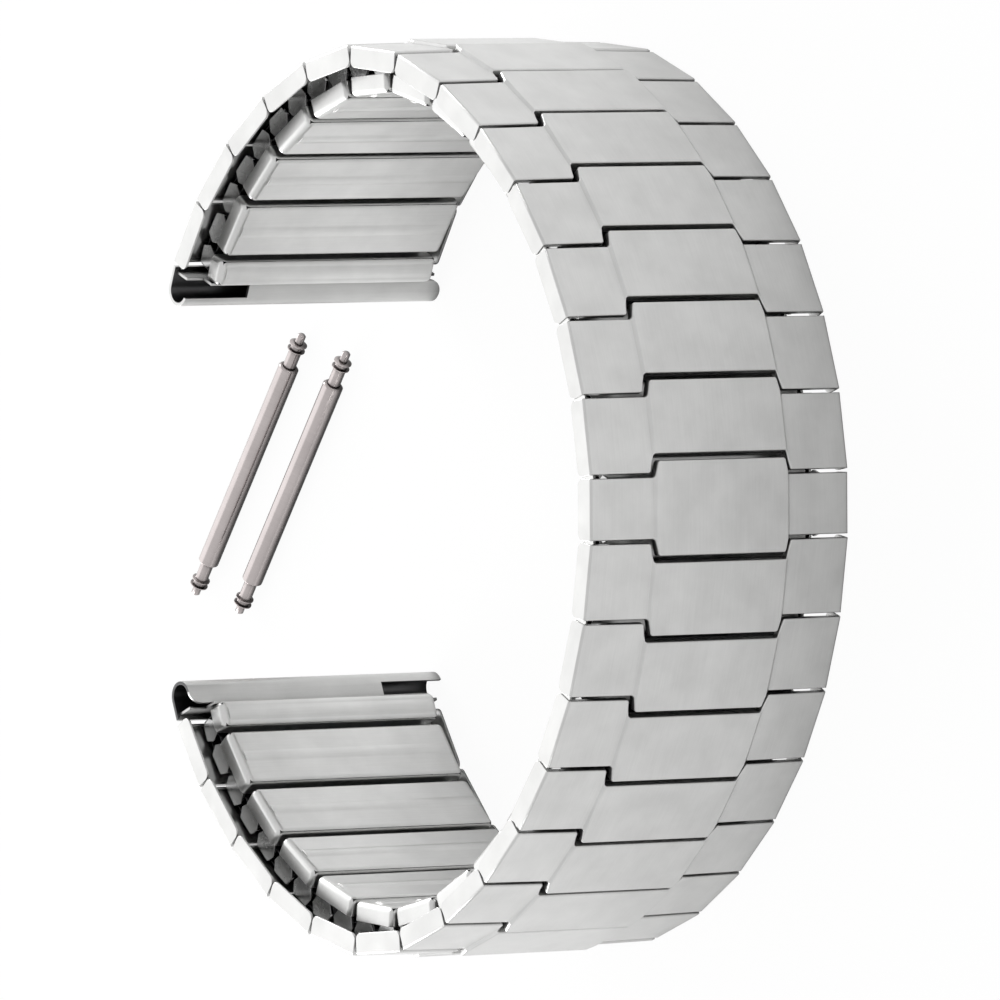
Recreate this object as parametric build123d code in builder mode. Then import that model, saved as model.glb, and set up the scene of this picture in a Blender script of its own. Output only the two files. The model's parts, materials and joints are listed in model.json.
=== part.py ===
from build123d import *
from math import cos, exp, radians, sin
import os

# Expansion watch band for 22 mm lugs, with two loose double-flange spring bars.
# Every link is built once in its own frame: x along the band away from the centre link,
# y across the band, z away from the wrist with zero on the outer face of the raised tile.
# The band lies on its side, so the across axis of the links is world Z.

# Band
band_width = 21.8
pitch = 5.33
centre_half = 2.45
links_per_side = 13
last_short = 0.3
thickness = 3.65

# Rest shape: turn in degrees between one outer link and the next, counted from the centre
turn_side = 9.4
turn_crown = 7.7
crown_link = 7.7
crown_spread = 1.3
turn_tail = 1.3

# Top shell
sheet = 0.18
shell_floor = 0.66
tile_half = 5.65
tile_rise = 0.2
shoulder_run = 0.3
rim_fall = 0.3
rim_round = 0.22
wing_back = 0.3
tile_ahead = 0.92
wing_gap = 0.08
tile_gap = 0.25
step_slant = 0.3
step_gap = 0.25
step_round = 0.22
flap_depth = 1.85
flap_round = 0.5

# Sleeves and leaf springs
sleeve_half_width = 8.73
sleeve_bottom = 1.85
sleeve_wall = 0.12
sleeve_side = 0.1
sleeve_near = 1.67
sleeve_far = 2.38
centre_sleeve = 2.13
leaf_thick = 0.1
leaf_half = 6.8
leaf_sag = 0.26
leaf_side_gap = 0.1

# Wrist sleeve
wrist_half = 2.25
wrist_half_width = 9.25
wrist_height = 1.4
wrist_edge = 0.4
wrist_end = 0.5
wrist_flap = 0.2
bead_half = 0.5
bead_rise = 0.12
half_near = 1.87

# Staples
leg_offset = 1.35
leg_radius = 0.2
upper_leg = 1.48
lower_leg = 2.95
leg_length = 4.6
plate_in = 8.78
plate_out = 9.0
staple_top = 0.72
staple_bottom = 3.3
# Half widths of a staple's plate at its upper leg, at the top of the wrist sleeve and at its lower leg
link_plate = (1.2, 0.75, 0.58)
end_plate = (0.85, 0.38, 0.32)

# End piece with the spring-bar seat
seat_sheet = 0.25
seat_radius = 0.87
seat_x = 1.2
seat_plate_start = -0.22
seat_drop = 0.3
lip_back = 0.34
lip_share = 0.76
lip_round = 0.95
lip_bite = 0.2
bulkhead_x = 0.1
bulkhead_thick = 0.2
bulkhead_bottom = 2.9
bulkhead_margin = 0.25

# Spring bars
bar_radius = 0.75
barrel_length = 17.8
barrel_bore = 0.6
crimp_bore = 0.5
crimp_length = 0.35
crimp_slope = 0.12
neck_radius = 0.47
neck_length = 2.1
flange_radius = 0.66
flange_thick = 0.2
flange_gap = 0.28
tip_radius = 0.31
tip_length = 0.75
tip_edge = 0.1
collar_radius = 0.57
collar_length = 0.4
stem_radius = 0.2
stem_length = 1.6
pivot_travel = 1.0
wire_radius = 0.08
coil_radius = 0.42
coil_pitch = 0.9
coil_clear = 0.1
bar_spacing = 5.2
bar_stagger = 2.3
bar_lean = 36
bar_x = 0.5
bar_y = 68.8

half_width = band_width / 2
half_pitch = pitch / 2


def turn(k):
    """Rest turn between outer link k and the next one, in degrees."""
    crown = turn_crown * exp(-((k - crown_link) / crown_spread) ** 2)
    return turn_side + crown + turn_tail * k / links_per_side


def box(x0, x1, y0, y1, z0, z1, mode=Mode.ADD):
    """A plain box given by its faces, added to the open builder."""
    centre = Location(((x0 + x1) / 2, (y0 + y1) / 2, (z0 + z1) / 2))
    with Locations(centre):
        Box(x1 - x0, y1 - y0, z1 - z0, mode=mode)


def shell_outline(near, far, near_kind, far_kind):
    """Plan of a top shell. A side leads with its tile, takes the tile of its neighbour or is straight."""
    far_wing = far - wing_back - wing_gap / 2
    if near_kind == "leads":
        near_wing = -far_wing
        near_tile = -(far + tile_ahead - tile_gap / 2)
        near_side = [(near_wing, tile_half), (near_tile, tile_half - step_slant)]
    else:
        near_wing = -near - wing_back + wing_gap / 2
        near_tile = -near + tile_ahead + tile_gap / 2
        near_side = [(near_wing, tile_half + step_gap), (near_tile, tile_half - step_slant + step_gap)]
    far_side = []
    if far_kind == "leads":
        far_tile = far + tile_ahead - tile_gap / 2
        far_side = [(far_tile, tile_half - step_slant), (far_wing, tile_half)]
    lower_far = [(x, -y) for x, y in reversed(far_side)]
    lower_near = [(x, -y) for x, y in reversed(near_side)]
    points = [(near_wing, -half_width), (far_wing, -half_width)]
    points += lower_far + far_side
    points += [(far_wing, half_width), (near_wing, half_width)]
    points += near_side + lower_near
    return points, near_wing, far_wing


def shell_section(drop, inset):
    """Section of a top shell across the band, lowered and narrowed for the hollow below it."""
    side = half_width - inset
    low = -shell_floor - inset
    rim = -rim_fall - drop
    shoulder = tile_half + shoulder_run / 2
    return [
        (-side, low),
        (side, low),
        (side, rim),
        (shoulder, -tile_rise - drop),
        (shoulder - shoulder_run, -drop),
        (shoulder_run - shoulder, -drop),
        (-shoulder, -tile_rise - drop),
        (-side, rim),
    ]


def prism(outline, section, inset, corner):
    """Plan and cross section of a shell intersected, for the shell and for its hollow."""
    reach = pitch * 2
    with BuildPart() as body:
        with BuildSketch(Plane.XY.offset(-shell_floor - inset)) as plan:
            Polygon(*outline, align=None)
            if inset:
                offset(amount=-inset, kind=Kind.INTERSECTION, mode=Mode.REPLACE)
            else:
                fillet([v for v in plan.vertices() if abs(v.Y) < tile_half + step_gap * 2], step_round)
        extrude(amount=shell_floor + inset)
        with BuildSketch(Plane.YZ.offset(-reach)) as across:
            Polygon(*section, align=None)
            rims = across.vertices().sort_by(Axis.Y)[2:4]
            if corner:
                fillet(rims, corner)
        extrude(amount=2 * reach, mode=Mode.INTERSECT)
    return body.part


def top_shell(near, far, near_kind="takes", far_kind="leads"):
    """Pressed cap of an outer link: raised tile, sloping wings and an end flap at each rim."""
    outline, near_wing, far_wing = shell_outline(near, far, near_kind, far_kind)
    with BuildPart() as flap:
        box(near_wing, far_wing, half_width - sheet, half_width, -flap_depth, -shell_floor)
        lower = flap.edges().filter_by(Axis.Y).group_by(Axis.Z)[0]
        fillet(lower, flap_round)
        mirror(about=Plane.XZ)
    with BuildPart() as shell:
        add(prism(outline, shell_section(0, 0), 0, rim_round))
        add(prism(outline, shell_section(sheet, sheet), sheet, 0), mode=Mode.SUBTRACT)
        add(flap.part)
    return shell.part


def upper_sleeve(near, far):
    """Flat tube under a top shell. The upper legs of four staples lie in it."""
    with BuildPart() as sleeve:
        box(-near, far, -sleeve_half_width, sleeve_half_width, -sleeve_bottom, -shell_floor)
        box(
            sleeve_side - near,
            far - sleeve_side,
            -band_width,
            band_width,
            sleeve_wall - sleeve_bottom,
            -shell_floor - sleeve_wall,
            mode=Mode.SUBTRACT,
        )
    return sleeve.part


def leaf_spring(near, far, crest, side):
    """Bowed strip along a sleeve. Side is one for a strip below the crest and minus one above it."""
    with BuildPart() as leaf:
        with BuildSketch(Plane.YZ.offset(-near)):
            with BuildLine():
                crest_in = crest - side * leaf_thick
                foot = crest - side * leaf_sag
                foot_in = foot - side * leaf_thick
                ThreePointArc((-leaf_half, foot), (0, crest), (leaf_half, foot))
                Line((leaf_half, foot), (leaf_half, foot_in))
                ThreePointArc((leaf_half, foot_in), (0, crest_in), (-leaf_half, foot_in))
                Line((-leaf_half, foot_in), (-leaf_half, foot))
            make_face()
        extrude(amount=near + far)
    return leaf.part


def wrist_sleeve(near, far, closed):
    """Sleeve of the wrist row with a rounded end flap at each rim and a lengthwise bead."""
    top = wrist_height - thickness
    inner = wrist_half_width - wrist_flap
    with BuildPart() as sleeve:
        box(-near, far, -wrist_half_width, wrist_half_width, -thickness, top)
        low = sleeve.faces().sort_by(Axis.Z)[0]
        fillet(low.edges().filter_by(Axis.X), wrist_end)
        long_edges = sleeve.edges().filter_by(Axis.Y).group_by(Axis.Z)[0]
        fillet(long_edges, wrist_edge)
        side = sleeve_wall if closed else sleeve_side
        box(
            sleeve_side - near,
            far - side,
            -inner,
            inner,
            sleeve_wall - thickness,
            top - sleeve_wall,
            mode=Mode.SUBTRACT,
        )
        for end in (-1, 1):
            slot = sorted((end * sleeve_half_width, end * inner))
            box(
                sleeve_side - near,
                far - side,
                slot[0],
                slot[1],
                -lower_leg,
                top + sleeve_wall,
                mode=Mode.SUBTRACT,
            )
        bead_span = wrist_half_width - wrist_end
        middle = (far - near) / 2
        with BuildSketch(Plane.XZ.offset(-bead_span)):
            with BuildLine():
                ThreePointArc(
                    (middle - bead_half, -thickness),
                    (middle, -thickness - bead_rise),
                    (middle + bead_half, -thickness),
                )
                Line((middle + bead_half, -thickness), (middle - bead_half, -thickness))
            make_face()
        extrude(amount=2 * bead_span)
    return sleeve.part


def staple(x, end, plate):
    """U-shaped clip at one rim: a flat bridge plate and two round legs that lie across the band."""
    upper, waist, lower = plate
    waist_depth = thickness - wrist_height
    root = end * plate_in
    reach = end * leg_length
    with BuildPart() as clip:
        with BuildSketch(Plane.XZ.offset(-end * plate_in)) as bridge:
            Polygon(
                (x - upper, -upper_leg),
                (x - waist, -waist_depth),
                (x - lower, -lower_leg),
                (x - lower * 0.8, -staple_bottom),
                (x + lower * 0.8, -staple_bottom),
                (x + lower, -lower_leg),
                (x + waist, -waist_depth),
                (x + upper, -upper_leg),
                (x + upper * 0.7, -staple_top),
                (x - upper * 0.7, -staple_top),
                align=None,
            )
            fillet(bridge.vertices(), leg_radius / 2)
        extrude(amount=-end * (plate_out - plate_in))
        for depth in (upper_leg, lower_leg):
            with BuildSketch(Plane.XZ.offset(-root)):
                with Locations((x, -depth)):
                    Circle(leg_radius)
            extrude(amount=reach)
    return clip.part


def seat_hook():
    """End plate curled into the spring-bar seat, with its lip and the bulkhead behind the seat."""
    outer = seat_radius + seat_sheet
    centre_z = -seat_drop - outer
    plate_top = centre_z + outer
    lip_bottom = centre_z - outer
    gap_start = half_width - (1 - lip_share) * band_width
    lip_top = centre_z - seat_radius + seat_sheet / 2
    with BuildPart() as corner_cut:
        box(lip_back, lip_back + lip_round, -half_width, lip_round - half_width, 3 * centre_z, lip_top)
        with Locations((lip_back + lip_round, lip_round - half_width, centre_z)):
            Cylinder(lip_round, 4 * outer, mode=Mode.SUBTRACT)
    with BuildPart() as hook:
        with BuildSketch(Plane.XZ.offset(-half_width)):
            with Locations((seat_x, centre_z)):
                Circle(outer)
            with Locations((seat_x - outer, centre_z)):
                Rectangle(2 * outer, 2 * outer, mode=Mode.SUBTRACT)
            with BuildLine():
                Polyline(
                    (seat_plate_start, plate_top),
                    (seat_x, plate_top),
                    (seat_x, lip_bottom),
                    (lip_back, lip_bottom),
                    (lip_back, plate_top - seat_sheet),
                    (seat_plate_start, plate_top - seat_sheet),
                    close=True,
                )
            make_face()
            with Locations((seat_x, centre_z)):
                Circle(seat_radius, mode=Mode.SUBTRACT)
            with Locations(((lip_back + seat_x) / 2, centre_z)):
                Rectangle(seat_x - lip_back, 2 * seat_radius, mode=Mode.SUBTRACT)
        extrude(amount=band_width)
        box(-outer, seat_x + lip_bite, gap_start, half_width, 3 * centre_z, lip_top, mode=Mode.SUBTRACT)
        add(corner_cut.part, mode=Mode.SUBTRACT)
        side = half_width - bulkhead_margin
        box(
            bulkhead_x,
            bulkhead_x + bulkhead_thick,
            -side,
            side,
            -bulkhead_bottom,
            plate_top - seat_sheet,
        )
        for end in (-1, 1):
            corner = sorted((end * wrist_half_width, end * half_width))
            box(
                -outer,
                bulkhead_x + bulkhead_thick,
                corner[0],
                corner[1],
                -thickness,
                -flap_depth,
                mode=Mode.SUBTRACT,
            )
    return hook.part


def barrel():
    """Barrel of a spring bar along x, its two ends crimped in to hold the pivots."""
    half = barrel_length / 2
    with BuildPart() as tube:
        with BuildSketch(Plane.XY):
            Polygon(
                (-half, crimp_bore),
                (-half, bar_radius - crimp_slope),
                (-half + crimp_slope, bar_radius),
                (half - crimp_slope, bar_radius),
                (half, bar_radius - crimp_slope),
                (half, crimp_bore),
                (half - crimp_length, crimp_bore),
                (half - crimp_length, barrel_bore),
                (crimp_length - half, barrel_bore),
                (crimp_length - half, crimp_bore),
                align=None,
            )
        revolve(axis=Axis.X)
    return tube.part


def pivot():
    """Pivot of a spring bar along x: stem, collar, neck, two flanges and the tip for the lug hole."""
    half = barrel_length / 2
    inside = half - crimp_length
    stem_end = inside - collar_length - stem_length
    first = half + neck_length - flange_gap - 2 * flange_thick
    second = first + flange_thick + flange_gap
    tip = second + flange_thick
    with BuildPart() as plunger:
        with BuildSketch(Plane.XY):
            Polygon(
                (stem_end, 0),
                (stem_end, stem_radius),
                (inside - collar_length, stem_radius),
                (inside - collar_length, collar_radius),
                (inside, collar_radius),
                (inside, neck_radius),
                (first, neck_radius),
                (first + flange_thick / 3, flange_radius),
                (first + 2 * flange_thick / 3, flange_radius),
                (first + flange_thick, neck_radius),
                (second, neck_radius),
                (second + flange_thick / 3, flange_radius),
                (second + 2 * flange_thick / 3, flange_radius),
                (tip, neck_radius),
                (tip, tip_radius),
                (tip + tip_length - tip_edge, tip_radius),
                (tip + tip_length, tip_radius - tip_edge),
                (tip + tip_length, 0),
                align=None,
            )
        revolve(axis=Axis.X)
    return plunger.part


def coil_spring():
    """Coil spring in the middle of a barrel, short enough for both collars to travel in."""
    inside = barrel_length / 2 - crimp_length - collar_length
    half = inside - pivot_travel - coil_clear
    with BuildPart() as coil:
        with BuildLine() as path:
            Helix(
                pitch=coil_pitch,
                height=2 * half,
                radius=coil_radius,
                center=(-half, 0, 0),
                direction=(1, 0, 0),
            )
        with BuildSketch(Plane(origin=path.line @ 0, z_dir=path.line % 0)):
            Circle(wire_radius)
        sweep(path=path.line, is_frenet=True)
    return coil.part


# Canonical solids, each built once
last_far = half_pitch - last_short
shells = {
    "centre": top_shell(centre_half, centre_half, near_kind="leads"),
    "link": top_shell(half_pitch, half_pitch),
    "last": top_shell(half_pitch, last_far, far_kind="straight"),
}
link_sleeve = upper_sleeve(sleeve_near, sleeve_far)
root_sleeve = upper_sleeve(centre_sleeve, centre_sleeve)
last_sleeve = upper_sleeve(sleeve_near, sleeve_far - last_short)
crest = -shell_floor - sleeve_wall
link_leaf = leaf_spring(
    sleeve_near - sleeve_side - leaf_side_gap,
    sleeve_far - sleeve_side - leaf_side_gap,
    crest,
    1,
)
root_leaf = leaf_spring(
    centre_sleeve - sleeve_side - leaf_side_gap,
    centre_sleeve - sleeve_side - leaf_side_gap,
    crest,
    1,
)
last_leaf = leaf_spring(
    sleeve_near - sleeve_side - leaf_side_gap,
    sleeve_far - last_short - sleeve_side - leaf_side_gap,
    crest,
    1,
)
wrist_inside = wrist_half - sleeve_side - leaf_side_gap
wrist_shell = wrist_sleeve(wrist_half, wrist_half, closed=False)
wrist_leaf = leaf_spring(wrist_inside, wrist_inside, sleeve_wall - thickness, -1)
half_shell = wrist_sleeve(half_near, bulkhead_x, closed=True)
half_inside = half_near - sleeve_side - leaf_side_gap
half_leaf = leaf_spring(half_inside, -leaf_side_gap, sleeve_wall - thickness, -1)
slide_staples = [staple(-leg_offset, end, link_plate) for end in (1, -1)]
hinge_staples = [staple(leg_offset, end, link_plate) for end in (1, -1)]
end_staples = [staple(-leg_offset, end, end_plate) for end in (1, -1)]
hook = seat_hook()
tube = barrel()
plunger = pivot()
spring = coil_spring()


def hang(frame, x, angle):
    """Frame turned about the upper leg that lies at x in the given frame."""
    return frame * Pos(x, 0, -upper_leg) * Rot(0, angle, 0) * Pos(0, 0, upper_leg)


def named(shape, label, frame):
    """A placed copy of a canonical solid with its piece name."""
    placed = shape.moved(frame)
    solid = placed.solids()[0]
    solid.label = label
    return solid


root = Location(Plane(origin=(0, 0, half_width), x_dir=(1, 0, 0), z_dir=(0, -1, 0)))
nodes = {}


def outer_link(number, kind, frame):
    """Node of one outer link: cap, sleeve and leaf spring."""
    sleeve = {"centre": root_sleeve, "last": last_sleeve}.get(kind, link_sleeve)
    leaf = {"centre": root_leaf, "last": last_leaf}.get(kind, link_leaf)
    nodes[f"outer_link_{number:02d}"] = [
        named(shells[kind], "top_shell", frame),
        named(sleeve, "upper_sleeve", frame),
        named(leaf, "upper_leaf_spring", frame),
    ]


def inner_link(number, frame):
    """Node of one link of the wrist row: sleeve, leaf spring and its four staples."""
    pieces = [named(wrist_shell, "wrist_sleeve", frame), named(wrist_leaf, "wrist_leaf_spring", frame)]
    for end, shape in enumerate(slide_staples):
        pieces.append(named(shape, f"slide_staple_{end + 1}", frame))
    for end, shape in enumerate(hinge_staples):
        pieces.append(named(shape, f"hinge_staple_{end + 1}", frame))
    nodes[f"inner_link_{number:02d}"] = pieces


centre_number = links_per_side + 1
outer_link(centre_number, "centre", root)
for half, step, start in (("upper", -1, root), ("lower", 1, root * Rot(0, 0, 180))):
    frame = start
    reach = centre_half
    for k in range(links_per_side):
        bend = turn(k)
        inner = hang(frame, reach - leg_offset, bend / 2) * Pos(leg_offset, 0, 0)
        inner_number = centre_number - k - 1 if step < 0 else centre_number + k
        inner_link(inner_number, inner)
        frame = hang(inner, leg_offset, bend / 2) * Pos(half_pitch - leg_offset, 0, 0)
        reach = half_pitch
        kind = "last" if k == links_per_side - 1 else "link"
        outer_link(centre_number + step * (k + 1), kind, frame)
    end_frame = hang(frame, last_far - leg_offset, turn(links_per_side)) * Pos(leg_offset, 0, 0)
    end_pieces = [
        named(hook, "seat_hook", end_frame),
        named(half_shell, "half_wrist_sleeve", end_frame),
        named(half_leaf, "half_leaf_spring", end_frame),
    ]
    for end, shape in enumerate(end_staples):
        end_pieces.append(named(shape, f"end_staple_{end + 1}", end_frame))
    nodes[f"end_piece_{half}"] = end_pieces

lean = radians(bar_lean)
along = Vector(cos(lean), -sin(lean), 0)
aside = Vector(sin(lean), cos(lean), 0)
barrels = []
for bar, side in ((1, 0.5), (2, -0.5)):
    centre = Vector(bar_x, bar_y, bar_radius) + aside * side * bar_spacing - along * side * bar_stagger
    bar_frame = Location(Plane(origin=centre, x_dir=along, z_dir=(0, 0, 1)))
    barrels.append(named(tube, f"barrel_{bar}", bar_frame))
    barrels.append(named(spring, f"coil_spring_{bar}", bar_frame))
    nodes[f"spring_bar_{bar}_pivot_a"] = [named(plunger, "pivot", bar_frame)]
    nodes[f"spring_bar_{bar}_pivot_b"] = [named(plunger, "pivot", bar_frame * Rot(0, 0, 180))]
nodes["spring_bar_barrels"] = barrels

# Whole part moved so that the middle of its underside is the origin
boxes = [solid.bounding_box() for pieces in nodes.values() for solid in pieces]
low_x = min(bounds.min.X for bounds in boxes)
high_x = max(bounds.max.X for bounds in boxes)
low_y = min(bounds.min.Y for bounds in boxes)
high_y = max(bounds.max.Y for bounds in boxes)
low_z = min(bounds.min.Z for bounds in boxes)
shift = Pos(-(low_x + high_x) / 2, -(low_y + high_y) / 2, -low_z)
for name, pieces in sorted(nodes.items()):
    placed = [named(solid, solid.label, shift) for solid in pieces]
    if len(placed) == 1:
        placed[0].label = name
        export_step(placed[0], f"parts/{name}.step")
    else:
        export_step(Compound(label=name, children=placed), f"parts/{name}.step")
print("shift", shift.position, "size", high_x - low_x, high_y - low_y)
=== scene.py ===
"""Looks of a steel expansion watch band with two loose spring bars, built round its CAD part."""
import json
import math

import bmesh
import bpy
from mathutils import Euler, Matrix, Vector

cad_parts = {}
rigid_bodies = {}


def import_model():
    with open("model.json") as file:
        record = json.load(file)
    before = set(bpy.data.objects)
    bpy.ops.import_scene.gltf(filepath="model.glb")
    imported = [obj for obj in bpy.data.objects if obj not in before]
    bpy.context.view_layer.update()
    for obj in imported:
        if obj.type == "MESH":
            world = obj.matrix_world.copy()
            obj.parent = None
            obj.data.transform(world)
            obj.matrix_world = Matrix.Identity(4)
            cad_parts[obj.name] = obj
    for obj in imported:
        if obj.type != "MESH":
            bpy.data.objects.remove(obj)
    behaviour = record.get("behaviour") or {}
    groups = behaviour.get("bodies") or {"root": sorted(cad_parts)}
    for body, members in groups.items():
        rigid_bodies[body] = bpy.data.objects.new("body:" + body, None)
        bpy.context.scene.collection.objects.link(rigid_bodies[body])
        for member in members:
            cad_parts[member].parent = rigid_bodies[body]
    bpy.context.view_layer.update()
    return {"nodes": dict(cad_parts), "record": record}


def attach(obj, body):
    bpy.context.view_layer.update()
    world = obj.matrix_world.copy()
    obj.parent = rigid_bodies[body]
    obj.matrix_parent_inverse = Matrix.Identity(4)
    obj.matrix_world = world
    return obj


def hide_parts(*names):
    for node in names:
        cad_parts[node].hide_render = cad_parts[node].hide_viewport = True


bl_info = {
    "name": "Expansion watch band",
    "version": (1, 0, 0),
    "blender": (4, 5, 0),
    "location": "View3D > Sidebar > Watch Band",
    "description": "Dresses the frame of an expansion watch band and its spring bars",
    "category": "Add Mesh",
}

for spare in list(bpy.data.objects):
    bpy.data.objects.remove(spare, do_unlink=True)
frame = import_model()

MM = 0.001
OUTER_LINKS = sorted(name for name in frame["nodes"] if name.startswith("outer_link_"))
WRIST_LINKS = sorted(name for name in frame["nodes"] if name.startswith("inner_link_"))
END_PIECES = ("end_piece_upper", "end_piece_lower")
BARRELS = "spring_bar_barrels"
PIVOTS = sorted(name for name in frame["nodes"] if "_pivot_" in name)
SEAT_REACH = 1.3 * MM                  # how far the inside of a seat lies from its middle line
PRESSED_DEPTH = 0.4 * MM               # how far below its tile a cap's outline lies
BAR_LEAN = math.radians(36)            # the loose bars' turn on the floor, from world X
MERGE_GAP = 0.001 * MM                 # vertices closer than this are one
FLAT_ANGLE = math.radians(0.4)         # faces that meet at less than this are one flat face
SHARP_ANGLE = math.radians(35)         # edges that turn more than this are rounded
CREASE_ANGLE = math.radians(50)        # edges that turn more than this stay creased in the shading
ROUND_STEPS = 3                        # faces across a rounded edge
FACE_WEIGHT = 80                       # how much larger faces lead the shading's normals
NOISE_LOW, NOISE_HIGH = 0.3, 0.7       # nearly all of a noise texture lies between these
MARK_TINT = (0.97, 1.03)               # the shares of the colour that the marks span
CLOUD_TINT = (0.94, 1.05)              # and those that the cloudy spots span
CLOUD_SMEAR = 1.6                      # roughness that the spots add at most, times uneven
TUMBLED_GRAIN = 0.3 * MM               # spacing of the fine dents that tumbling leaves

# Least width across the band by which a node's solids are told apart, and the metal of each.
SHELL_WIDE, SLEEVE_WIDE, TUBE_WIDE = 20 * MM, 18 * MM, 15 * MM
LEAF_WIDE, BARREL_WIDE = 10 * MM, 1.2 * MM
# The tubes' dark material is painted shade for the gaps under the outer links.
OUTER_METALS = ((SHELL_WIDE, "satin_brushed_stainless_sheet"),
                (TUBE_WIDE, "shade_dark_stainless_tube"), (0, "tempered_spring_steel"))
WRIST_METALS = ((SLEEVE_WIDE, "cold_rolled_stainless_strip"), (LEAF_WIDE, "tempered_spring_steel"),
                (0, "tumbled_stainless_staple"))
END_METALS = ((SHELL_WIDE, "press_folded_stainless_seat"), *WRIST_METALS)
BARREL_METALS = ((BARREL_WIDE, "ground_stainless_bar"), (0, "tempered_spring_steel"))
PIVOT_METALS = ((0, "ground_stainless_bar"),)

# The stage, in metres and degrees. The camera was fitted to the corners of the photo's links.
CAMERA_PLACE, CAMERA_TURN = (0.03575, -0.90974, 0.65154), (-2.336, 54.44, -90.577)
CAMERA_SENSOR, CAMERA_REACH = 36, 20   # sensor width in mm, and how far the camera sees in m
LAMP_TARGET = (0, 0, 0.01)
BACK_PLACE, BACK_SIZE = (0.05, 1.1, 0.75), (2.4, 1.4)
FILL_PLACE, FILL_SIZE = (0.6, 0.85, 0.3), (0.5, 0.3)
FLOOR_SIZE, FLOOR_DROP = 3, 0.05 * MM
# The share of plain white in the floor, as the camera sees it and as the metal mirrors it.
FLOOR_TO_CAMERA, FLOOR_TO_METAL = 0.95, 0.05
ROOM_COLOUR = "#e6e6e6"


def linear(hex_colour):
    """An sRGB hex colour as the linear colour that Blender's shaders take."""
    channels = [int(hex_colour[at:at + 2], 16) / 255 for at in (1, 3, 5)]
    return tuple(c / 12.92 if c <= 0.04045 else ((c + 0.055) / 1.055) ** 2.4 for c in channels)


def add_node(tree, kind, settings=None, **links):
    """Adds one node. settings are its properties, links its inputs: sockets or plain values."""
    made = tree.nodes.new(kind)
    for key, value in (settings or {}).items():
        setattr(made, key, value)
    for key, value in links.items():
        socket = made.inputs[int(key[1:])] if key[0] == "i" and key[1:].isdigit() else \
            made.inputs[key.replace("_", " ")]
        if isinstance(value, bpy.types.NodeSocket):
            tree.links.new(value, socket)
        else:
            socket.default_value = value
    return made


def steel(name, colour, roughness, spacing, turned=0.0, groove=1.2e-6, patch=2.6 * MM, uneven=0.05,
          recess=0.5 * MM, painted_shade_share=0.35, shut=0.25, open_air=0.8):
    """A bare stainless steel. spacing is how far apart its tool marks lie along x, y and z, in
    metres, turned their turn about z, groove their depth and uneven how far they change the
    roughness. patch is the size of the cloudy spots that handling leaves. Corners and slots narrower
    than recess get painted shade: an ambient occlusion mask darkens the colour there, in the
    darkest spots down to the given shade share of it. shut and open_air are the shares of open sky
    between which the painted shade fades out."""
    made = bpy.data.materials.new(name)
    made.use_nodes = True
    tree = made.node_tree
    tree.nodes.clear()
    place = add_node(tree, "ShaderNodeTexCoord").outputs["Object"]
    laid = add_node(tree, "ShaderNodeMapping", Vector=place, Rotation=(0, 0, turned))
    stretched = add_node(tree, "ShaderNodeVectorMath", {"operation": "MULTIPLY"},
                         i0=laid.outputs["Vector"], i1=tuple(1 / gap for gap in spacing))
    marks = add_node(tree, "ShaderNodeTexNoise", Vector=stretched.outputs["Vector"], Scale=1.0,
                     Detail=5.0, Roughness=0.65)
    clouds = add_node(tree, "ShaderNodeTexNoise", Vector=place, Scale=1 / patch, Detail=3.0)
    dull = add_node(tree, "ShaderNodeMapRange", Value=marks.outputs["Fac"], From_Min=NOISE_LOW,
                    From_Max=NOISE_HIGH, To_Min=roughness - uneven, To_Max=roughness + uneven)
    smeared = add_node(tree, "ShaderNodeMath", {"operation": "MULTIPLY_ADD"},
                       i0=clouds.outputs["Fac"], i1=uneven * CLOUD_SMEAR, i2=dull.outputs["Result"])
    shade = add_node(tree, "ShaderNodeMapRange", Value=clouds.outputs["Fac"], From_Min=NOISE_LOW,
                     From_Max=NOISE_HIGH, To_Min=CLOUD_TINT[0], To_Max=CLOUD_TINT[1])
    streak = add_node(tree, "ShaderNodeMapRange", Value=marks.outputs["Fac"], From_Min=NOISE_LOW,
                      From_Max=NOISE_HIGH, To_Min=MARK_TINT[0], To_Max=MARK_TINT[1])
    both = add_node(tree, "ShaderNodeMath", {"operation": "MULTIPLY"}, i0=shade.outputs["Result"],
                    i1=streak.outputs["Result"])
    toned = add_node(tree, "ShaderNodeMixRGB", {"blend_type": "MULTIPLY"}, Fac=1.0,
                     Color1=(*colour, 1), Color2=both.outputs["Value"])
    # Painted shade: an ambient occlusion mask darkens the colour in corners, slots and near other
    # parts.
    nook = add_node(tree, "ShaderNodeAmbientOcclusion", {"samples": 8}, Distance=recess)
    unshaded_share = add_node(tree, "ShaderNodeMapRange", Value=nook.outputs["AO"], From_Min=shut,
                     From_Max=open_air, To_Min=painted_shade_share, To_Max=1.0)
    # The colour with the painted shade multiplied in.
    worn = add_node(tree, "ShaderNodeMixRGB", {"blend_type": "MULTIPLY"}, Fac=1.0,
                    Color1=toned.outputs["Color"], Color2=unshaded_share.outputs["Result"])
    bump = add_node(tree, "ShaderNodeBump", Strength=1.0, Distance=groove,
                    Height=marks.outputs["Fac"])
    skin = add_node(tree, "ShaderNodeBsdfPrincipled", Metallic=1.0,
                    Base_Color=worn.outputs["Color"], Roughness=smeared.outputs["Value"],
                    Normal=bump.outputs["Normal"])
    add_node(tree, "ShaderNodeOutputMaterial", Surface=skin.outputs["BSDF"])
    return made


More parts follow.
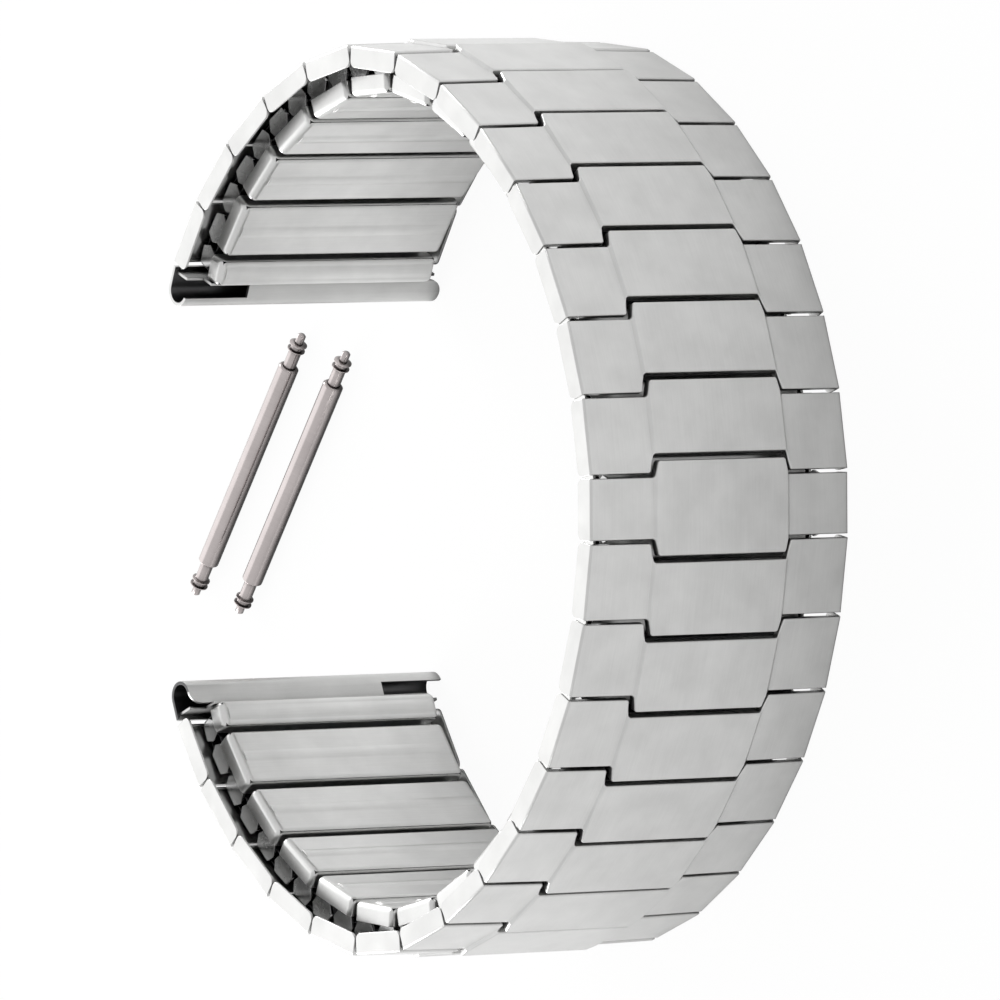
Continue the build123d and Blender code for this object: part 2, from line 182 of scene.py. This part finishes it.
def finishes():
    """Makes the band's metals once, for all its pieces to share."""
    look = bpy.context.scene.watch_band
    if "satin_brushed_stainless_sheet" in bpy.data.materials:
        return
    fine, long = look.mark_spacing, look.mark_length
    along_band, across_band = (long, long, fine), (fine, fine, long)
    # Every metal below gets painted shade in its corners and slots from steel(); the strip and the
    # spring steel keep its default reach and darkness.
    # The marks are drawn coarser than real ones, whose spacing is too fine to show.
    # Folded 304 sheet, brushed along the band: a soft grey that keeps only wide highlights.
    # Painted shade darkens the corners where tile and wings meet and the gaps between links.
    steel("satin_brushed_stainless_sheet", look.outer_colour, 0.30, along_band, recess=0.4 * MM,
          painted_shade_share=0.3, shut=0.3, open_air=0.97)
    # Cold-rolled strip, with roll marks across the band: shallow, so only faint streaks show.
    steel("cold_rolled_stainless_strip", look.wrist_colour, 0.30, across_band, groove=0.35e-6,
          uneven=0.04)
    # The hidden tubes are coloured dark and get strong painted shade in their corners, so the gaps
    # between links look deep.
    steel("shade_dark_stainless_tube", look.tube_shade_colour, 0.34, across_band, groove=1.6e-6,
          recess=1.2 * MM, painted_shade_share=0.1)
    # Hard blue-grey spring strip, rolled thin and left as it came.
    steel("tempered_spring_steel", look.spring_colour, 0.26, across_band)
    # Blanked and bent staples, tumbled bright, so the recess glints.
    # Painted shade darkens the staples in the recess's corners.
    steel("tumbled_stainless_staple", look.staple_colour, 0.20, (TUMBLED_GRAIN,) * 3,
          groove=1e-6, recess=0.8 * MM, painted_shade_share=0.55)
    # The seats' folded sheet, rubbed dull by the bars.
    # Deep, strong painted shade darkens the seat's hook and recesses.
    steel("press_folded_stainless_seat", look.seat_colour, 0.30, across_band, recess=1.6 * MM,
          painted_shade_share=0.08)
    # Bars ground between wheels: nearly smooth, with faint rings and a warm grey tone.
    # Wide painted shade darkens each bar's side that faces the floor and the links.
    steel("ground_stainless_bar", look.bar_colour, 0.2, (fine, long, long), turned=BAR_LEAN,
          groove=0.02e-6, uneven=0.005, recess=3 * MM, painted_shade_share=0.15, shut=0.5, open_air=0.98)


def islands(mesh):
    """The loose parts of a bmesh, as lists of vertices in an order that a set wouldn't keep."""
    left, found = dict.fromkeys(mesh.verts), []
    while left:
        start, _ = left.popitem()
        part, edge_of_it = [start], [start]
        while edge_of_it:
            for edge in edge_of_it.pop().link_edges:
                for vert in edge.verts:
                    if vert in left:
                        del left[vert]
                        part.append(vert)
                        edge_of_it.append(vert)
        found.append(part)
    return found


def width_across(part):
    """How wide a loose part is across the band, which lies along z."""
    heights = [vert.co.z for vert in part]
    return max(heights) - min(heights)


def round_edges(shape, edges, radius):
    """Rounds sharp edges of a bmesh as tumbling leaves them."""
    if radius > 0 and edges:
        bmesh.ops.bevel(shape, geom=edges, offset=radius, offset_type="OFFSET",
                        segments=ROUND_STEPS, profile=0.5, affect="EDGES", clamp_overlap=False,
                        material=-1)


def sharp_edges(part):
    """The sharp outer edges of a loose part."""
    edges = dict.fromkeys(edge for vert in part for edge in vert.link_edges)
    return [edge for edge in edges if edge.is_convex and edge.calc_face_angle(0) > SHARP_ANGLE]


def pressed_edges(part):
    """The outline of a pressed cap, where its sheet turns down: sharp edges near its tile."""
    faces = dict.fromkeys(face for vert in part for face in vert.link_faces)
    tile = max(faces, key=lambda face: face.calc_area())
    level = tile.calc_center_median()
    return [edge for edge in sharp_edges(part)
            if all((vert.co - level).dot(tile.normal) > -PRESSED_DEPTH for vert in edge.verts)]


def settle_order(shape):
    """Puts a bmesh's elements in one fixed order, as Blender leaves some in another each run."""
    for group, key in ((shape.verts, lambda vert: tuple(vert.co)),
                       (shape.edges, lambda edge: sorted(vert.index for vert in edge.verts)),
                       (shape.faces, lambda face: sorted(vert.index for vert in face.verts))):
        rank = {item: at for at, item in enumerate(sorted(group, key=key))}
        group.sort(key=rank.get)
        group.index_update()


def dress(node, piece, metals, rounding, pressed=0.0, hollow=None):
    """Makes the piece that stands for one CAD node: its solids told apart by their widths, given
    their metals, and their sharp edges rounded. metals is a list of (least width, material), widest
    first. pressed is the radius round the outline of the widest solid's tile, and hollow is a line
    across the band: faces of the widest solid that look at it get the tubes' dark material as
    painted shade."""
    shape = bmesh.new()
    shape.from_mesh(frame["nodes"][node].data)
    bmesh.ops.remove_doubles(shape, verts=shape.verts, dist=MERGE_GAP)
    if rounding > 0:
        bmesh.ops.dissolve_limit(shape, angle_limit=FLAT_ANGLE, verts=shape.verts,
                                 edges=shape.edges, delimit=set())
    outline, rest = [], []
    for part in islands(shape):
        wide = width_across(part)
        slot_at = next(at for at, (least, _) in enumerate(metals) if wide >= least)
        for vert in part:
            for face in vert.link_faces:
                face.material_index = slot_at
        turned_down = pressed_edges(part) if pressed and slot_at == 0 else []
        outline += turned_down
        rest += [edge for edge in sharp_edges(part) if edge not in turned_down]
    round_edges(shape, rest, rounding)
    round_edges(shape, [edge for edge in outline if edge.is_valid], pressed)
    bmesh.ops.recalc_face_normals(shape, faces=shape.faces)
    for face in shape.faces:
        face.smooth = True
        # Painted shade: the seat's inner faces, round the hollow, take the tubes' dark material.
        if hollow and face.material_index == 0:
            spot = face.calc_center_median()
            inward = Vector((*hollow, spot.z)) - spot
            if inward.length < SEAT_REACH and inward.dot(face.normal) > 0:
                face.material_index = len(metals)
    for edge in shape.edges:
        edge.smooth = edge.calc_face_angle(0) < CREASE_ANGLE
    settle_order(shape)
    mesh = bpy.data.meshes.new(piece)
    shape.to_mesh(mesh)
    shape.free()
    for _, metal in metals:
        mesh.materials.append(bpy.data.materials[metal])
    # The dark tube material, painted shade for the seat's inside.
    if hollow:
        mesh.materials.append(bpy.data.materials["shade_dark_stainless_tube"])
    made = bpy.data.objects.new(piece, mesh)
    bpy.context.collection.objects.link(made)
    even = made.modifiers.new("even shading", "WEIGHTED_NORMAL")
    even.weight = FACE_WEIGHT
    even.keep_sharp = True
    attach(made, node)
    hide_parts(node)


class WATCHBAND_PG_finish(bpy.types.PropertyGroup):
    """Sizes and colours of the band's pieces."""
    edge_rounding: bpy.props.FloatProperty(
        name="Edge rounding", description="Radius worn onto the sheet's cut edges",
        default=0.04 * MM, unit="LENGTH", subtype="DISTANCE")
    pressed_rounding: bpy.props.FloatProperty(
        name="Pressed rounding", description="Radius where the outer caps' sheet turns down",
        default=0.13 * MM, unit="LENGTH", subtype="DISTANCE")
    wrist_rounding: bpy.props.FloatProperty(
        name="Wrist row rounding", description="Radius on the wrist row's and the seats' edges",
        default=0.02 * MM, unit="LENGTH", subtype="DISTANCE")
    mark_spacing: bpy.props.FloatProperty(
        name="Mark spacing", description="Gap between tool marks, drawn coarser than real to show",
        default=0.12 * MM, unit="LENGTH", subtype="DISTANCE")
    mark_length: bpy.props.FloatProperty(
        name="Mark length", description="Length of one tool mark",
        default=4 * MM, unit="LENGTH", subtype="DISTANCE")
    outer_colour: bpy.props.FloatVectorProperty(
        name="Outer links", description="Colour of the outer links' sheet",
        default=linear("#d2d2d1"), size=3, subtype="COLOR")
    wrist_colour: bpy.props.FloatVectorProperty(
        name="Wrist links", description="Colour of the wrist row's strip",
        default=linear("#d8d8d7"), size=3, subtype="COLOR")
    # The tubes' dark grey is painted shade for the deep gaps, not the steel's own tone.
    tube_shade_colour: bpy.props.FloatVectorProperty(
        name="Hidden tubes", description="Colour of the tubes under the outer links",
        default=linear("#5f5f60"), size=3, subtype="COLOR")
    spring_colour: bpy.props.FloatVectorProperty(
        name="Leaf springs", description="Colour of the leaf springs",
        default=linear("#8e9096"), size=3, subtype="COLOR")
    staple_colour: bpy.props.FloatVectorProperty(
        name="Staples", description="Colour of the staples",
        default=linear("#c4c4c4"), size=3, subtype="COLOR")
    seat_colour: bpy.props.FloatVectorProperty(
        name="Seats", description="Colour of the end seats",
        default=linear("#c6c6c5"), size=3, subtype="COLOR")
    bar_colour: bpy.props.FloatVectorProperty(
        name="Spring bars", description="Colour of the loose bars",
        default=linear("#c9c1c0"), size=3, subtype="COLOR")


class WATCHBAND_PG_stage(bpy.types.PropertyGroup):
    """The floor, the lamps and the camera."""
    floor_colour: bpy.props.FloatVectorProperty(
        name="Floor", description="Colour of the paper floor",
        default=linear("#f7f7f7"), size=3, subtype="COLOR")
    back_power: bpy.props.FloatProperty(
        name="Back softbox", description="Power of the softbox beyond the band", default=6.5,
        unit="POWER")
    fill_power: bpy.props.FloatProperty(
        name="Side fill", description="Power of each lamp beside the band", default=5.3,
        unit="POWER")
    camera_lens: bpy.props.FloatProperty(
        name="Lens", description="Focal length", default=571.0, subtype="DISTANCE_CAMERA")


class WATCHBAND_OT_outer_links(bpy.types.Operator):
    """Dress the outer links: folded shells, their sleeves and leaf springs"""
    bl_idname = "watchband.outer_links"
    bl_label = "Outer links"

    def execute(self, context):
        finishes()
        look = context.scene.watch_band
        for node in OUTER_LINKS:
            dress(node, node.replace("outer_link", "steel_outer_link"), OUTER_METALS,
                  look.edge_rounding, look.pressed_rounding)
        return {"FINISHED"}


class WATCHBAND_OT_wrist_links(bpy.types.Operator):
    """Dress the wrist row: closed sleeves, leaf springs and staples"""
    bl_idname = "watchband.wrist_links"
    bl_label = "Wrist links"

    def execute(self, context):
        finishes()
        for node in WRIST_LINKS:
            dress(node, node.replace("inner_link", "steel_wrist_link"), WRIST_METALS,
                  context.scene.watch_band.wrist_rounding)
        return {"FINISHED"}


class WATCHBAND_OT_end_pieces(bpy.types.Operator):
    """Dress the two ends: bar seats, half sleeves and staples"""
    bl_idname = "watchband.end_pieces"
    bl_label = "End pieces"

    def execute(self, context):
        finishes()
        seats = {mount["name"]: mount["pos_m"] for mount in frame["record"]["mounts"]}
        for node in END_PIECES:
            middle = seats[node.replace("end_piece_", "") + "_bar_seat"]
            dress(node, "steel_" + node, END_METALS, context.scene.watch_band.wrist_rounding,
                  hollow=middle[:2])
        return {"FINISHED"}


class WATCHBAND_OT_spring_bars(bpy.types.Operator):
    """Finish the loose spring bars"""
    bl_idname = "watchband.spring_bars"
    bl_label = "Spring bars"

    def execute(self, context):
        finishes()
        dress(BARRELS, "ground_bar_barrels", BARREL_METALS, 0)
        for node in PIVOTS:
            dress(node, "ground_" + node, PIVOT_METALS, 0)
        return {"FINISHED"}


class WATCHBAND_OT_stage(bpy.types.Operator):
    """Set the floor, the lamps, the world and the camera"""
    bl_idname = "watchband.stage"
    bl_label = "Stage"

    def execute(self, context):
        look = context.scene.watch_stage
        self.lay_floor(look)
        fill_x, *fill_rest = FILL_PLACE
        for name, at, size, power in (
                ("back softbox", BACK_PLACE, BACK_SIZE, look.back_power),
                ("upper side fill", FILL_PLACE, FILL_SIZE, look.fill_power),
                ("lower side fill", (-fill_x, *fill_rest), FILL_SIZE, look.fill_power)):
            lamp = bpy.data.lights.new(name, "AREA")
            lamp.shape = "RECTANGLE"
            lamp.size, lamp.size_y = size
            lamp.energy = power
            holder = bpy.data.objects.new(name, lamp)
            holder.location = at
            aim = Vector(LAMP_TARGET) - Vector(at)
            holder.rotation_euler = aim.to_track_quat("-Z", "Y").to_euler()
            bpy.context.collection.objects.link(holder)
        self.light_room()
        eye = bpy.data.cameras.new("photo camera")
        eye.lens = look.camera_lens
        eye.sensor_width = CAMERA_SENSOR
        eye.clip_end = CAMERA_REACH
        holder = bpy.data.objects.new("photo camera", eye)
        holder.location = CAMERA_PLACE
        holder.rotation_euler = Euler([math.radians(turn) for turn in CAMERA_TURN], "XYZ")
        bpy.context.collection.objects.link(holder)
        context.scene.camera = holder
        context.scene.view_settings.view_transform = "Standard"
        return {"FINISHED"}

    def lay_floor(self, look):
        """A wide sheet of pale paper that stays white to the camera and keeps the shadows."""
        shape = bmesh.new()
        bmesh.ops.create_grid(shape, x_segments=1, y_segments=1, size=FLOOR_SIZE)
        bmesh.ops.translate(shape, verts=shape.verts, vec=(0, 0, -FLOOR_DROP))
        mesh = bpy.data.meshes.new("paper_floor")
        shape.to_mesh(mesh)
        shape.free()
        floor = bpy.data.objects.new("paper_floor", mesh)
        bpy.context.collection.objects.link(floor)
        paper = bpy.data.materials.new("matt_white_paper")
        paper.use_nodes = True
        tree = paper.node_tree
        tree.nodes.clear()
        ray = add_node(tree, "ShaderNodeLightPath").outputs
        mirrored = add_node(tree, "ShaderNodeMath", {"operation": "MAXIMUM"},
                            i0=ray["Is Glossy Ray"], i1=ray["Is Transmission Ray"])
        by_eye = add_node(tree, "ShaderNodeMath", {"operation": "MULTIPLY"},
                          i0=ray["Is Camera Ray"], i1=FLOOR_TO_CAMERA)
        by_metal = add_node(tree, "ShaderNodeMath", {"operation": "MULTIPLY_ADD"},
                            i0=mirrored.outputs["Value"], i1=FLOOR_TO_METAL,
                            i2=by_eye.outputs["Value"])
        matt = add_node(tree, "ShaderNodeBsdfDiffuse", Color=(*look.floor_colour, 1))
        white = add_node(tree, "ShaderNodeEmission", Color=(1, 1, 1, 1), Strength=1.0)
        seen = add_node(tree, "ShaderNodeMixShader", Fac=by_metal.outputs["Value"],
                        i1=matt.outputs["BSDF"], i2=white.outputs["Emission"])
        add_node(tree, "ShaderNodeOutputMaterial", Surface=seen.outputs["Shader"])
        mesh.materials.append(paper)

    def light_room(self):
        """A pale room, which the metal shows wherever it doesn't face a lamp or the floor."""
        room = bpy.data.worlds.new("pale studio room")
        bpy.context.scene.world = room
        room.use_nodes = True
        tree = room.node_tree
        tree.nodes.clear()
        air = add_node(tree, "ShaderNodeBackground", Color=(*linear(ROOM_COLOUR), 1), Strength=1.0)
        add_node(tree, "ShaderNodeOutputWorld", Surface=air.outputs["Background"])


class WATCHBAND_PT_panel(bpy.types.Panel):
    """Lists the band's pieces and their settings"""
    bl_idname = "WATCHBAND_PT_panel"
    bl_label = "Watch Band"
    bl_space_type = "VIEW_3D"
    bl_region_type = "UI"
    bl_category = "Watch Band"

    def draw(self, context):
        for made in OPERATORS:
            self.layout.operator(made.bl_idname)
        for group in (context.scene.watch_band, context.scene.watch_stage):
            for key in group.__annotations__:
                self.layout.prop(group, key)


OPERATORS = (WATCHBAND_OT_outer_links, WATCHBAND_OT_wrist_links, WATCHBAND_OT_end_pieces,
             WATCHBAND_OT_spring_bars, WATCHBAND_OT_stage)
CLASSES = (WATCHBAND_PG_finish, WATCHBAND_PG_stage, *OPERATORS, WATCHBAND_PT_panel)


def register():
    for made in CLASSES:
        bpy.utils.register_class(made)
    bpy.types.Scene.watch_band = bpy.props.PointerProperty(type=WATCHBAND_PG_finish)
    bpy.types.Scene.watch_stage = bpy.props.PointerProperty(type=WATCHBAND_PG_stage)


def unregister():
    del bpy.types.Scene.watch_stage
    del bpy.types.Scene.watch_band
    for made in reversed(CLASSES):
        bpy.utils.unregister_class(made)


def main():
    register()
    for made in OPERATORS:
        family, action = made.bl_idname.split(".")
        getattr(getattr(bpy.ops, family), action)()


if __name__ == "__main__":
    main()
